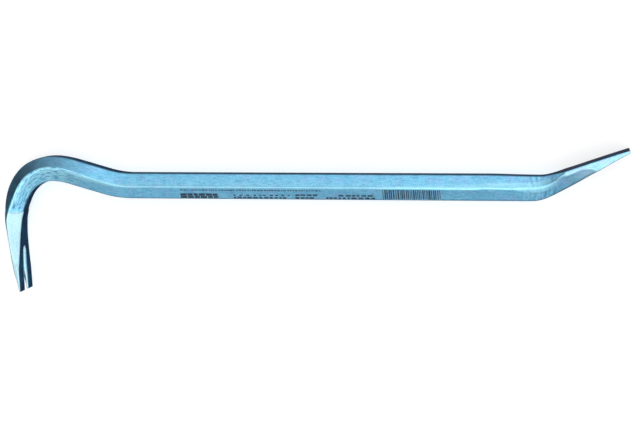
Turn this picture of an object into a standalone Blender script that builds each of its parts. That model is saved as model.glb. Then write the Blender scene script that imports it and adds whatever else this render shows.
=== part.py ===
"""Nail puller forged from one length of hexagonal steel bar, with a clear label film on the shank.

The bar lies on its side. +X runs along the shank to the chisel, +Y points away from the claw in the plane
of the bends, and +Z is up. Across a section, the back is the face outside the hook, which is the +Y face of
the shank, and the front is the face inside the hook.
"""
import math
from collections import namedtuple

import bmesh
import bpy
import numpy as np

MM = 0.001

# Bar stock
ACROSS_FLATS = 18.3 * MM
RIDGE_LAND = 1.2 * MM
EDGE_ROUND = 0.9 * MM

# Centreline, from the claw's tip to the chisel's tip, with its turns in degrees
CLAW_LENGTH = 60.1 * MM
HOOK_RADIUS = 30.3 * MM
HOOK_TURN = 95.6
CROWN_RADIUS = 73.0 * MM
CROWN_TURN = 10.1
NECK_LENGTH = 25.2 * MM
NECK_RADIUS = 76.6 * MM
SHANK_LENGTH = 291.5 * MM
BEND_RADIUS = 17.5 * MM
BEND_TURN = 24.4
CHISEL_LENGTH = 58.3 * MM

# Claw
CLAW_WIDTH = 26.0 * MM
CLAW_TIP_THICKNESS = 0.8 * MM
CLAW_TIP_OFFSET = 4.9 * MM
SLOT_DEPTH = 32.5 * MM
SLOT_MOUTH_WIDTH = 6.2 * MM
SLOT_ROOT_WIDTH = 3.6 * MM
SLOT_OVERRUN = 3.0 * MM

# Chisel
CHISEL_WIDTH = 26.0 * MM
CHISEL_TIP_THICKNESS = 2.0 * MM
TIP_CHAMFER = 0.4 * MM

# Label film
FILM_THICKNESS = 0.12 * MM
FILM_GAP = 0.05 * MM
FILM_LENGTH = 192.3 * MM
FILM_START = 34.7 * MM
FILM_RIDGE_MARGIN = 1.1 * MM
FILM_FLAT_MARGIN = 1.6 * MM

# Fineness of the mesh, and the most of a side that one rounded corner may take
RING_STEP = 3.0 * MM
CORNER_STEPS = 2
ROOT_STEPS = 10
CORNER_SHARE = 0.4

# One cross-section. Back and front are distances from the centreline, the flats and the width are half
# widths, and the side land runs between two shares of the thickness, counted from the front.
Section = namedtuple("Section", "place back front back_flat front_flat half_width land_back land_front")

# One stage of a forged end. Its place is a share of the end's length, counted from the tip, and the next
# five values say how far each size has gone from the tip's, at 0, to the bar stock's, at 1.
Stage = namedtuple("Stage", "place back front back_flat front_flat half_width land_back land_front")
STAGED_SIZES = ("back", "front", "back_flat", "front_flat", "half_width")

# The claw's faces fan out to the tip, its front face is slightly hollow, which takes that size below 0, and
# the side ridge climbs to the back edge
CLAW_STAGES = [
    Stage(0.000, 0.000, 0.000, 0.000, 0.000, 0.00, 0.75, 0.25),
    Stage(0.100, 0.083, -0.047, 0.000, 0.000, 0.00, 0.82, 0.18),
    Stage(0.233, 0.249, -0.118, 0.000, 0.000, 0.00, 0.90, 0.10),
    Stage(0.366, 0.370, -0.135, 0.051, 0.200, 0.15, 0.92, 0.70),
    Stage(0.499, 0.483, -0.110, 0.177, 0.420, 0.35, 0.93, 0.84),
    Stage(0.666, 0.626, -0.060, 0.325, 0.663, 0.60, 0.91, 0.86),
    Stage(0.867, 0.777, 0.170, 0.473, 0.880, 0.80, 0.86, 0.82),
    Stage(1.000, 0.830, 0.600, 0.736, 0.970, 0.95, 0.73, 0.67),
    Stage(1.133, 0.868, 0.930, 0.926, 1.000, 1.00, 0.60, 0.53),
    Stage(1.266, 0.913, 1.000, 0.979, 1.000, 1.00, 0.56, 0.49),
    Stage(1.532, 1.000, 1.000, 1.000, 1.000, 1.00, 0.57, 0.50),
    Stage(1.932, 1.000, 1.000, 1.000, 1.000, 1.00, 0.57, 0.50),
]

# The chisel's side is beaten flat from the back edge down, the side ridge climbs to meet that face, and the
# bar's back is pressed in slightly where the bend starts
CHISEL_STAGES = [
    Stage(0.000, 0.000, 0.000, 0.00, 0.00, 0.00, 0.78, 0.22),
    Stage(0.102, 0.090, 0.052, 0.00, 0.00, 0.00, 0.86, 0.14),
    Stage(0.420, 0.332, 0.294, 0.00, 0.00, 0.00, 0.92, 0.10),
    Stage(0.490, 0.380, 0.349, 0.00, 0.18, 0.00, 0.93, 0.50),
    Stage(0.592, 0.448, 0.436, 0.00, 0.38, 0.00, 0.93, 0.75),
    Stage(0.762, 0.582, 0.566, 0.00, 0.62, 0.00, 0.93, 0.72),
    Stage(0.830, 0.645, 0.608, 0.30, 0.72, 0.20, 0.84, 0.76),
    Stage(0.925, 0.755, 0.660, 0.80, 0.85, 0.55, 0.66, 0.60),
    Stage(1.000, 0.850, 0.700, 0.91, 0.90, 0.78, 0.62, 0.56),
    Stage(1.070, 0.905, 0.797, 0.96, 0.94, 0.90, 0.60, 0.54),
    Stage(1.141, 0.925, 0.985, 0.98, 0.98, 0.95, 0.59, 0.52),
    Stage(1.250, 0.930, 1.000, 0.99, 1.00, 0.98, 0.58, 0.51),
    Stage(1.450, 0.960, 1.000, 1.00, 1.00, 1.00, 0.57, 0.50),
    Stage(1.750, 1.000, 1.000, 1.00, 1.00, 1.00, 0.57, 0.50),
]
CLAW_STOCK_MARGIN = 24.0 * MM
CHISEL_STOCK_MARGIN = 12.0 * MM

# One run of the centreline, with its turn in radians to the left
Run = namedtuple("Run", "name length turn")


def clear_scene():
    for item in list(bpy.data.objects):
        bpy.data.objects.remove(item, do_unlink=True)


def make_material(name, colour, metallic, roughness, alpha=1.0):
    material = bpy.data.materials.new(name)
    material.use_nodes = True
    shader = material.node_tree.nodes["Principled BSDF"]
    shader.inputs["Base Color"].default_value = (*colour, 1.0)
    shader.inputs["Metallic"].default_value = metallic
    shader.inputs["Roughness"].default_value = roughness
    shader.inputs["Alpha"].default_value = alpha
    material.diffuse_color = (*colour, alpha)
    return material


def centreline_runs():
    """The runs in order. The neck's bend turns back just enough to bring the shank square to the claw."""
    hook_turn = math.radians(HOOK_TURN)
    crown_turn = math.radians(CROWN_TURN)
    neck_turn = hook_turn + crown_turn - math.pi / 2
    bend_turn = math.radians(BEND_TURN)
    return [
        Run("claw", CLAW_LENGTH, 0.0),
        Run("hook", HOOK_RADIUS * hook_turn, -hook_turn),
        Run("crown", CROWN_RADIUS * crown_turn, -crown_turn),
        Run("neck", NECK_LENGTH, 0.0),
        Run("neck_bend", NECK_RADIUS * abs(neck_turn), neck_turn),
        Run("shank", SHANK_LENGTH, 0.0),
        Run("chisel_bend", BEND_RADIUS * bend_turn, bend_turn),
        Run("chisel", CHISEL_LENGTH, 0.0),
    ]


def run_spans():
    """Start and end of each run, as distances along the centreline."""
    spans = {}
    place = 0.0
    for run in centreline_runs():
        spans[run.name] = (place, place + run.length)
        place += run.length
    return spans


def centreline_point(place):
    """Position, from the claw's tip, and heading of the centreline at a distance along it."""
    x, y, heading = 0.0, 0.0, math.pi / 2
    left = place
    for run in centreline_runs():
        if left <= 0 or run.length == 0:
            continue
        part = min(left, run.length)
        turned = run.turn * part / run.length
        chord = 2 * part / turned * math.sin(turned / 2) if turned else part
        x += chord * math.cos(heading + turned / 2)
        y += chord * math.sin(heading + turned / 2)
        heading += turned
        left -= part
    return x, y, heading


def stock_section(place):
    """The hexagonal bar's own section, with its two side ridges slightly flattened."""
    half = ACROSS_FLATS / 2
    flat = half * math.tan(math.radians(30))
    ridge = ACROSS_FLATS / math.sqrt(3) - RIDGE_LAND / 2 * math.tan(math.radians(30))
    land = RIDGE_LAND / 2 / ACROSS_FLATS
    return Section(place, half, -half, flat, flat, ridge, 0.5 + land, 0.5 - land)


def tip_section(front, thickness, width):
    """The section at a forged tip. The stages give the side land."""
    half = width / 2
    flat = half - TIP_CHAMFER
    return Section(0.0, front + thickness, front, flat, flat, half, None, None)


def staged_section(stage, tip, place):
    """The section between the tip's and the bar's that a stage describes."""
    stock = stock_section(place)
    sizes = [getattr(tip, size) + getattr(stage, size) * (getattr(stock, size) - getattr(tip, size))
             for size in STAGED_SIZES]
    return Section(place, *sizes, stage.land_back, stage.land_front)


def bar_sections():
    """Sections along the whole bar, in order from the claw's tip to the chisel's."""
    end = run_spans()["chisel"][1]
    claw_tip = tip_section(-CLAW_TIP_OFFSET, CLAW_TIP_THICKNESS, CLAW_WIDTH)
    chisel_tip = tip_section(-CHISEL_TIP_THICKNESS / 2, CHISEL_TIP_THICKNESS, CHISEL_WIDTH)
    claw = [staged_section(stage, claw_tip, stage.place * CLAW_LENGTH) for stage in CLAW_STAGES]
    chisel = [staged_section(stage, chisel_tip, end - stage.place * CHISEL_LENGTH)
              for stage in reversed(CHISEL_STAGES)]
    stock = [stock_section(claw[-1].place + CLAW_STOCK_MARGIN),
             stock_section(chisel[0].place - CHISEL_STOCK_MARGIN)]
    return claw + stock + chisel


def smooth_slopes(places, values):
    """Slopes of a smooth curve through the values that never overshoots them."""
    steps = np.diff(values) / np.diff(places)
    slopes = np.empty_like(values)
    slopes[0] = steps[0]
    slopes[-1] = steps[-1]
    for i in range(1, len(values) - 1):
        before, after = steps[i - 1], steps[i]
        slopes[i] = 2 * before * after / (before + after) if before * after > 0 else 0.0
    return slopes


def section_at(sections, place):
    """Smooth blend of the stated sections at a distance along the centreline."""
    places = np.array([section.place for section in sections])
    i = int(np.clip(np.searchsorted(places, place) - 1, 0, len(places) - 2))
    span = places[i + 1] - places[i]
    t = (place - places[i]) / span
    blended = []
    for field in Section._fields[1:]:
        values = np.array([getattr(section, field) for section in sections])
        slopes = smooth_slopes(places, values)
        rise = t * t * (3 - 2 * t)
        bend = span * (slopes[i] * t * (1 - t) ** 2 - slopes[i + 1] * t * t * (1 - t))
        blended.append(values[i] + (values[i + 1] - values[i]) * rise + bend)
    return Section(place, *blended)


def section_corners(section):
    """The section's eight corners as (distance from the centreline, z), the near side from front to back."""
    thickness = section.back - section.front
    land_front = section.front + thickness * section.land_front
    land_back = section.front + thickness * section.land_back
    near = [
        (section.front, section.front_flat),
        (land_front, section.half_width),
        (land_back, section.half_width),
        (section.back, section.back_flat),
    ]
    far = [(distance, -z) for distance, z in reversed(near)]
    return [np.array(corner) for corner in near + far]


def rounded_outline(corners):
    """The closed outline with each corner replaced by a short curve that stays within its two sides."""
    outline = []
    for i, corner in enumerate(corners):
        before = corners[i - 1] - corner
        after = corners[(i + 1) % len(corners)] - corner
        start = corner + before * min(EDGE_ROUND / np.linalg.norm(before), CORNER_SHARE)
        finish = corner + after * min(EDGE_ROUND / np.linalg.norm(after), CORNER_SHARE)
        for step in range(CORNER_STEPS + 1):
            t = step / CORNER_STEPS
            outline.append(start * (1 - t) ** 2 + corner * 2 * t * (1 - t) + finish * t * t)
    return outline


def ring_places(sections):
    """Distances at which the bar gets a ring: close together where it bends or changes, none elsewhere."""
    spans = run_spans()
    bends = [spans[run.name] for run in centreline_runs() if run.turn]
    stops = sorted({place for span in spans.values() for place in span} | {item.place for item in sections})
    places = [stops[0]]
    for start, finish in zip(stops, stops[1:]):
        middle = (start + finish) / 2
        bent = any(low < middle < high for low, high in bends)
        same = np.allclose(section_at(sections, start)[1:], section_at(sections, finish)[1:], rtol=0)
        count = math.ceil((finish - start) / RING_STEP) if bent or not same else 1
        places += [start + (finish - start) * (step + 1) / count for step in range(count)]
    return places


def bar_rings():
    sections = bar_sections()
    rings = []
    for place in ring_places(sections):
        x, y, heading = centreline_point(place)
        outline = rounded_outline(section_corners(section_at(sections, place)))
        rings.append([(x - distance * math.sin(heading), y + distance * math.cos(heading), z)
                      for distance, z in outline])
    return rings


def mesh_from_rings(name, rings):
    """A closed skin through equal rings of points, with a flat cap at each end."""
    shape = bmesh.new()
    loops = [[shape.verts.new(point) for point in ring] for ring in rings]
    count = len(loops[0])
    for near, far in zip(loops, loops[1:]):
        for i in range(count):
            j = (i + 1) % count
            shape.faces.new((near[i], far[i], far[j], near[j]))
    shape.faces.new(loops[0])
    shape.faces.new(list(reversed(loops[-1])))
    bmesh.ops.recalc_face_normals(shape, faces=shape.faces)
    mesh = bpy.data.meshes.new(name)
    shape.to_mesh(mesh)
    shape.free()
    mesh.shade_smooth()
    mesh.set_sharp_from_angle(angle=math.radians(35))
    return mesh


def add_object(name, mesh, parent):
    item = bpy.data.objects.new(name, mesh)
    bpy.context.scene.collection.objects.link(item)
    item.parent = parent
    return item


def make_placement(rings):
    """Empty at the claw's tip, placed so that the bar's box stands on z = 0 with its middle over the origin."""
    points = np.array([point for ring in rings for point in ring])
    low, high = points.min(axis=0), points.max(axis=0)
    empty = bpy.data.objects.new("claw_tip", None)
    bpy.context.scene.collection.objects.link(empty)
    empty.location = (-(low[0] + high[0]) / 2, -(low[1] + high[1]) / 2, -low[2])
    return empty


def make_slot_cutter(parent):
    """Tapered slot with a round root, cut through the claw's thickness from its tip."""
    root = SLOT_ROOT_WIDTH / 2
    mouth = SLOT_MOUTH_WIDTH / 2
    widening = (mouth - root) / (SLOT_DEPTH - root) * SLOT_OVERRUN
    outline = [(-SLOT_OVERRUN, mouth + widening), (SLOT_DEPTH - root, root)]
    for step in range(1, ROOT_STEPS):
        angle = math.pi * step / ROOT_STEPS
        outline.append((SLOT_DEPTH - root + root * math.sin(angle), root * math.cos(angle)))
    outline += [(SLOT_DEPTH - root, -root), (-SLOT_OVERRUN, -mouth - widening)]
    rings = [[(across, along, z) for along, z in outline] for across in (-ACROSS_FLATS, ACROSS_FLATS)]
    cutter = add_object("slot_cutter", mesh_from_rings("slot_cutter", rings), parent)
    cutter.hide_render = True
    cutter.display_type = "WIRE"
    return cutter


def make_bar(rings, parent):
    bar = add_object("forged_bar", mesh_from_rings("forged_bar", rings), parent)
    bar.data.materials.append(make_material("forged_steel", (0.28, 0.55, 0.72), 0.9, 0.38))
    slot = bar.modifiers.new("nail_slot", "BOOLEAN")
    slot.object = make_slot_cutter(parent)
    slot.operation = "DIFFERENCE"
    slot.solver = "EXACT"


def film_path():
    """Section of the face under the film, from the front flat round its corner to just below the side ridge."""
    stock = stock_section(0.0)
    outline = rounded_outline(section_corners(stock))
    corner = outline[:CORNER_STEPS + 1]
    face = outline[CORNER_STEPS + 1] - corner[-1]
    face_end = corner[-1] + face * (1 - FILM_RIDGE_MARGIN / np.linalg.norm(face))
    flat_end = np.array((stock.front, FILM_FLAT_MARGIN - stock.front_flat))
    return [flat_end, *corner, face_end]


def offset_path(path, distance):
    """The path moved outward, away from the section's middle, by one distance."""
    moved = []
    for i, point in enumerate(path):
        before = path[i] - path[i - 1] if i else path[1] - path[0]
        after = path[i + 1] - path[i] if i < len(path) - 1 else before
        normals = [np.array((-side[1], side[0])) / np.linalg.norm(side) for side in (before, after)]
        mean = (normals[0] + normals[1]) / 2
        moved.append(point + mean * distance / np.dot(mean, mean))
    return moved


def make_film(parent):
    inner = offset_path(film_path(), FILM_GAP)
    outer = offset_path(film_path(), FILM_GAP + FILM_THICKNESS)
    loop = inner + list(reversed(outer))
    start, axis, _heading = centreline_point(run_spans()["shank"][0] + FILM_START)
    rings = [[(x, axis + distance, z) for distance, z in loop] for x in (start, start + FILM_LENGTH)]
    film = add_object("label_film", mesh_from_rings("label_film", rings), parent)
    film.data.materials.append(make_material("clear_film", (0.85, 0.93, 0.96), 0.0, 0.15, alpha=0.35))


def main():
    clear_scene()
    rings = bar_rings()
    placement = make_placement(rings)
    make_bar(rings, placement)
    make_film(placement)


main()
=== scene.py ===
"""Look of the nail puller: a steel forging with a blue-tinted satin finish, lying on a pale studio floor.

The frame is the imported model's: +X along the shank to the chisel, +Y away from the claw, +Z up. The near side
of the bar is its upper, +Z side. Back and front of a section are the faces outside and inside the hook.
Distances along the bar are counted from the claw's tip. All sizes are in metres.
"""
import math
from collections import namedtuple

import bmesh
import bpy
import numpy as np
from mathutils import Matrix, Vector, noise


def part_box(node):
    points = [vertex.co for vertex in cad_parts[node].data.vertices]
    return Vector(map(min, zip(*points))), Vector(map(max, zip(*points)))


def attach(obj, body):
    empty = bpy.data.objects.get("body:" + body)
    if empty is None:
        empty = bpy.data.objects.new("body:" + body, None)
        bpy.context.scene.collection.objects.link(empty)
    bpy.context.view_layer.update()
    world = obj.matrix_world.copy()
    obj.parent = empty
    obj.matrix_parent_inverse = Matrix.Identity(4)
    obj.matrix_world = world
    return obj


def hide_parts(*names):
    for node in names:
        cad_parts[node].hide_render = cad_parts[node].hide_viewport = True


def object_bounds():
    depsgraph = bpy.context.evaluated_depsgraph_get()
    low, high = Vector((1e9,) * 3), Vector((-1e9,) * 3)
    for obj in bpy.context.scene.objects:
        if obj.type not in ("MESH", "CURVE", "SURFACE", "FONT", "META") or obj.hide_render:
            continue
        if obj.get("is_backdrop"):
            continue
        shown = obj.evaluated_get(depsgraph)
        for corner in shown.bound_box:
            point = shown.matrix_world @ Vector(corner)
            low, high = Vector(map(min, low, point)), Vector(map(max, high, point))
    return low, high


MM = 0.001

# Camera, fitted to the photograph, with its turns in degrees, and its lens and sensor in millimetres
CAMERA_PLACE = (0.21229, 0.14034, 1.08265)
CAMERA_YAW = 10.862
CAMERA_PITCH = -7.148
CAMERA_ROLL = -0.813
CAMERA_LENS = 87.66
SENSOR_WIDTH = 36.0

# Bar stock, with the slope of the hexagon's flanks
ACROSS_FLATS = 18.3 * MM
RIDGE_LAND = 1.2 * MM
FLANK_SLOPE = math.radians(30)

# How far bending has flattened the side ridges over the front and the back flanks, at distances along the bar
FRONT_PRESS_PLACES = (0.060, 0.072, 0.120, 0.165, 0.400, 0.436, 0.464, 0.476)
FRONT_PRESS_SIZES = (0.0, 1.5 * MM, 1.2 * MM, 0.0, 0.0, 0.2 * MM, 0.5 * MM, 0.0)
BACK_PRESS_PLACES = (0.380, 0.410, 0.436, 0.466, 0.476)
BACK_PRESS_SIZES = (0.0, 1.2 * MM, 2.0 * MM, 2.0 * MM, 0.0)

# Sizes of the rounded edges at distances along the bar: of all edges, of those beside the front flat, and of
# the side ridges' front and back corners
EDGE_ROUND_PLACES = (0.050, 0.065, 0.478, 0.492)
EDGE_ROUND_SIZES = (0.4 * MM, 0.9 * MM, 0.9 * MM, 0.4 * MM)
FLAT_ROUND_PLACES = (0.440, 0.480)
FLAT_ROUND_SIZES = (0.0, 1.6 * MM)
FRONT_ROUND_PLACES = (0.060, 0.075, 0.130, 0.175, 0.442, 0.456, 0.472, 0.480)
FRONT_ROUND_SIZES = (0.0, 3.0 * MM, 3.0 * MM, 0.0, 0.0, 4.5 * MM, 4.5 * MM, 0.0)
BACK_ROUND_PLACES = (0.400, 0.436, 0.470, 0.480)
BACK_ROUND_SIZES = (0.0, 1.5 * MM, 3.0 * MM, 0.0)

# Most of a side that a rounding or a flattening takes
CORNER_SHARE = 0.4

# Softening of the creases by the chisel's bend: its share at distances along the bar, and its rounds
SOFT_PLACES = (0.446, 0.454, 0.468, 0.474)
SOFT_SHARES = (0.0, 1.0, 1.0, 0.0)
SOFT_ROUNDS = 14

# Centreline, from the claw's tip to the chisel's tip, with its turns in degrees
CLAW_LENGTH = 60.1 * MM
HOOK_RADIUS = 30.3 * MM
HOOK_TURN = 95.6
CROWN_RADIUS = 73.0 * MM
CROWN_TURN = 10.1
NECK_LENGTH = 25.2 * MM
NECK_RADIUS = 76.6 * MM
SHANK_LENGTH = 291.5 * MM
BEND_RADIUS = 17.5 * MM
BEND_TURN = 24.4
CHISEL_LENGTH = 58.3 * MM

# Claw and chisel
CLAW_WIDTH = 26.0 * MM
CLAW_TIP_THICKNESS = 0.8 * MM
CLAW_TIP_OFFSET = 4.9 * MM
SLOT_DEPTH = 32.5 * MM
SLOT_MOUTH_WIDTH = 6.2 * MM
SLOT_ROOT_WIDTH = 3.6 * MM
SLOT_OVERRUN = 3.0 * MM
CHISEL_WIDTH = 26.0 * MM
CHISEL_TIP_THICKNESS = 2.0 * MM
TIP_CHAMFER = 0.4 * MM

# Label film, and its print, which is ink in rows of plain marks with uneven gaps
FILM_THICKNESS = 0.12 * MM
FILM_GAP = 0.05 * MM
PRINT_LIFT = 0.01 * MM
PRINT_THICKNESS = 0.02 * MM
PRINT_SEED = 7
GAP_SPREAD = (0.6, 1.4)

# Fineness of the mesh, and the angle in degrees from which its edges stay sharp
RING_STEP = 1.2 * MM
ROUND_STEPS = 5
ROOT_STEPS = 20
FACE_STEPS = 10
LAND_STEPS = 8
SHARP_ANGLE = 35.0

# The outline's corners, and the sides that follow them, are counted round from the near side's front corner
SIDE_ORDER = (6, 7, 0, 1, 2, 3, 4, 5)
FRONT_RIDGE_CORNERS = (1, 6)
BACK_RIDGE_CORNERS = (2, 5)
FRONT_CORNERS = (0, 7)
BACK_CORNERS = (3, 4)
LANDS = (1, 5)
FRONT_FLANKS = (0, 6)
BACK_SIDES = (2, 3, 4)
BACK_FLAT = 3
FRONT_FLAT = 7

# One cross-section. Back and front are distances from the centreline, the flats and the width are half
# widths, and the side land runs between two shares of the thickness, counted from the front.
Section = namedtuple("Section", "place back front back_flat front_flat half_width land_back land_front")

# One stage of a forged end. Its place is a share of the end's length, counted from the tip, and the next
# five values say how far each size has gone from the tip's, at 0, to the bar stock's, at 1.
Stage = namedtuple("Stage", "place back front back_flat front_flat half_width land_back land_front")
STAGED_SIZES = ("back", "front", "back_flat", "front_flat", "half_width")

CLAW_STAGES = [
    Stage(0.000, 0.000, 0.000, 0.000, 0.000, 0.00, 0.75, 0.25),
    Stage(0.100, 0.083, -0.047, 0.000, 0.000, 0.00, 0.82, 0.18),
    Stage(0.233, 0.249, -0.118, 0.000, 0.000, 0.00, 0.90, 0.10),
    Stage(0.366, 0.370, -0.135, 0.051, 0.200, 0.15, 0.92, 0.70),
    Stage(0.499, 0.483, -0.110, 0.177, 0.420, 0.35, 0.93, 0.84),
    Stage(0.666, 0.626, -0.060, 0.325, 0.663, 0.60, 0.91, 0.86),
    Stage(0.867, 0.777, 0.170, 0.473, 0.880, 0.80, 0.86, 0.82),
    Stage(1.000, 0.830, 0.600, 0.736, 0.970, 0.95, 0.73, 0.67),
    Stage(1.133, 0.868, 0.930, 0.926, 1.000, 1.00, 0.60, 0.53),
    Stage(1.266, 0.913, 1.000, 0.979, 1.000, 1.00, 0.56, 0.49),
    Stage(1.532, 1.000, 1.000, 1.000, 1.000, 1.00, 0.57, 0.50),
    Stage(1.932, 1.000, 1.000, 1.000, 1.000, 1.00, 0.57, 0.50),
]
CHISEL_STAGES = [
    Stage(0.000, 0.000, 0.000, 0.00, 0.00, 0.00, 0.78, 0.22),
    Stage(0.102, 0.090, 0.052, 0.00, 0.00, 0.00, 0.86, 0.14),
    Stage(0.420, 0.332, 0.294, 0.00, 0.00, 0.00, 0.92, 0.10),
    Stage(0.490, 0.380, 0.349, 0.00, 0.18, 0.00, 0.93, 0.50),
    Stage(0.592, 0.448, 0.436, 0.00, 0.38, 0.00, 0.93, 0.75),
    Stage(0.762, 0.582, 0.566, 0.00, 0.62, 0.00, 0.93, 0.72),
    Stage(0.830, 0.645, 0.608, 0.30, 0.72, 0.20, 0.84, 0.76),
    Stage(0.925, 0.755, 0.660, 0.80, 0.85, 0.55, 0.66, 0.60),
    Stage(1.000, 0.850, 0.700, 0.91, 0.90, 0.78, 0.62, 0.56),
    Stage(1.070, 0.905, 0.797, 0.96, 0.94, 0.90, 0.60, 0.54),
    Stage(1.141, 0.925, 0.985, 0.98, 0.98, 0.95, 0.59, 0.52),
    Stage(1.250, 0.930, 1.000, 0.99, 1.00, 0.98, 0.58, 0.51),
    Stage(1.450, 0.960, 1.000, 1.00, 1.00, 1.00, 0.57, 0.50),
    Stage(1.750, 1.000, 1.000, 1.00, 1.00, 1.00, 0.57, 0.50),
]

# Distances from the last stages of the claw and of the chisel to where the plain bar stock is stated
CLAW_STOCK_MARGIN = 24.0 * MM
CHISEL_STOCK_MARGIN = 12.0 * MM

# Unevenness of the forged surface: its depths at distances along the bar, its even part and its two waves
RELIEF_PLACES = (0.0, 0.057, 0.060, 0.120, 0.170, 0.440, 0.462, 0.490, 0.526)
RELIEF_DEPTHS = (0.04 * MM, 0.06 * MM, 0.24 * MM, 0.20 * MM, 0.05 * MM,
                 0.05 * MM, 0.22 * MM, 0.14 * MM, 0.04 * MM)
RELIEF_LONG_WAVE = 11.0 * MM
RELIEF_SHORT_WAVE = 3.5 * MM
RELIEF_EVEN_SHARE = 0.5
RELIEF_LONG_SHARE = 0.35
RELIEF_SHORT_SHARE = 0.15

# Mark that the flattening dies leave across the claw's sides, and the step above it, which fades towards the
# hook. The broken line of scale in the mark shows on faces that point far enough up or down.
DIE_MARK = 58.6 * MM
DIE_MARK_WIDTH = 1.5 * MM
DIE_STEP = 0.25 * MM
DIE_FADE = 80.0 * MM
DIE_LINE_WIDTH = 1.4 * MM
DIE_LINE_SWAY = 1.6 * MM
DIE_LINE_WAVE = 7.0 * MM
DIE_LINE_SCALE = 0.45
DIE_LINE_BREAKS = (0.35, 0.60)
DIE_LINE_UPWARD = (0.3, 0.6)

# Shares of painted shade at distances along the bar, a dark tone that stands in for the shade on faces that
# the light leaves dark: on the front flat, on the back flat, on the back flat together with the flanks beside
# it, and on the side ridges, where it dims their highlight
FRONT_SHADE_PLACES = (0.070, 0.100, 0.200, 0.260, 0.440, 0.475)
FRONT_PAINTED_SHADE = (1.0, 0.90, 0.90, 0.80, 0.80, 1.0)
BACK_SHADE_PLACES = (0.050, 0.080, 0.460, 0.480)
BACK_PAINTED_SHADE = (0.60, 0.90, 0.90, 1.0)
OUTER_SHADE_PLACES = (0.042, 0.050, 0.090, 0.104, 0.116, 0.140, 0.468, 0.475, 0.482)
OUTER_PAINTED_SHADE = (0.0, 0.88, 0.86, 0.60, 0.44, 0.0, 0.0, 0.30, 0.0)
RIDGE_SHADE_PLACES = (0.130, 0.180, 0.335, 0.365)
RIDGE_PAINTED_SHADE = (0.0, 0.50, 0.50, 0.0)

# Shares of bright worn metal and painted highlight at distances along the bar, a pale tone that is partly
# real wear and partly the highlight of faces turned to the light: on the side ridges, on the front flanks, and
# spreading from the side ridges over the front and the back flanks, where they fall off by a power
RIDGE_HIGHLIGHT_PLACES = (0.130, 0.180, 0.335, 0.365, 0.460, 0.476)
RIDGE_WEAR_AND_HIGHLIGHT = (1.0, 0.62, 0.62, 0.72, 0.72, 0.48)
FLANK_HIGHLIGHT_PLACES = (0.060, 0.075, 0.095, 0.120, 0.140, 0.474, 0.502)
FLANK_WEAR_AND_HIGHLIGHT = (0.10, 0.45, 0.60, 0.70, 0.0, 0.0, 0.60)
FRONT_SPREAD_PLACES = (0.060, 0.070, 0.120, 0.165, 0.438, 0.454, 0.466, 0.476)
FRONT_SPREAD_WEAR_AND_HIGHLIGHT = (0.80, 1.0, 1.0, 0.0, 0.0, 0.10, 0.05, 0.0)
BACK_SPREAD_PLACES = (0.130, 0.180, 0.360, 0.412, 0.440, 0.462, 0.474)
BACK_SPREAD_WEAR_AND_HIGHLIGHT = (0.0, 0.32, 0.32, 0.45, 0.60, 0.10, 0.0)
FRONT_SPREAD_FALL = 1.6
BACK_SPREAD_FALL = 2.8
CLAW_WEAR_AND_HIGHLIGHT = 0.95

# Power by which an edge holds on to the finish of its sides
EDGE_HOLD = 6.0

# Steel: its colours
STEEL_BLUE = (0.225, 0.65, 0.97, 1.0)
STEEL_DEEP = (0.185, 0.55, 0.86, 1.0)
STEEL_DARK = (0.07, 0.28, 0.50, 1.0)
STEEL_LILAC = (0.36, 0.54, 1.00, 1.0)
STEEL_PALE = (0.35, 0.81, 1.00, 1.0)
# The worn and rubbed tones are partly real wear and partly a highlight painted on faces that face the light
STEEL_WORN_HIGHLIGHT = (0.53, 0.75, 0.78, 1.0)
STEEL_RUBBED_HIGHLIGHT = (0.43, 0.86, 1.00, 1.0)
STEEL_CUT = (0.72, 1.00, 1.00, 1.0)
STEEL_GRAZING = (0.04, 0.08, 0.12, 1.0)
# These two dark tones are a painted shade on faces that the light leaves dark, and the real scale of the die
# line
SHADE_AND_SCALE_DARK = (0.060, 0.075, 0.120, 1.0)
SHADE_AND_SCALE_BLUE = (0.060, 0.125, 0.175, 1.0)

# Steel: the wavelengths of its patterns. Marks are strokes from forging, with ripples instead at the bend.
CLOUD_WAVE = 6.0 * MM
LILAC_WAVE = 7.0 * MM
FLECK_WAVE = 1.2 * MM
GRAIN_WAVE = 0.45 * MM
STREAK_LENGTH = 30.0 * MM
STREAK_WIDTH = 0.8 * MM
MARK_LENGTH = 6.0 * MM
MARK_WIDTH = 0.7 * MM
RIPPLE_LENGTH = 2.0 * MM
RIPPLE_WIDTH = 5.0 * MM

# Steel: the spans of the patterns' noise over which each of them fades in or out
CLOUD_SPAN = (0.35, 0.65)
LILAC_SPAN = (0.50, 0.62)
STREAK_SPAN = (0.40, 0.70)
PALE_FLECK_SPAN = (0.45, 0.65)
DARK_FLECK_SPAN = (0.36, 0.50)
PALE_MARK_SPAN = (0.50, 0.64)
DARK_MARK_SPAN = (0.36, 0.48)
UNWORN_MARK_SPAN = (0.40, 0.54)
WEAR_AND_HIGHLIGHT_FLECK_SPAN = (0.30, 0.60)
WEAR_AND_HIGHLIGHT_STREAK_SPAN = (0.35, 0.60)
SHADE_FLECK_SPAN = (0.30, 0.60)
SHADE_AND_SCALE_CLOUD_SPAN = (0.35, 0.70)

# Steel: how strong the patterns are. The first of a pair is for smooth steel, the second for rough places.
LILAC_SHARE = 0.40
LILAC_CHISEL_SHARE = 0.70
STREAK_PALE = 0.35
FLECK_PALE = (0.30, 0.45)
FLECK_DARK = 0.20
MARK_PALE = 0.95
MARK_DARK = 0.95
MARK_UNWORN = 0.95
MARK_SHARE = (0.35, 0.70)
WEAR_AND_HIGHLIGHT_LEAST = 0.72
SHADE_LEAST = 0.92
GRAIN_BUMP = (0.35, 1.0)
FLECK_BUMP = (1.0, 3.0)
STEEL_BUMP = 0.03 * MM

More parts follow.
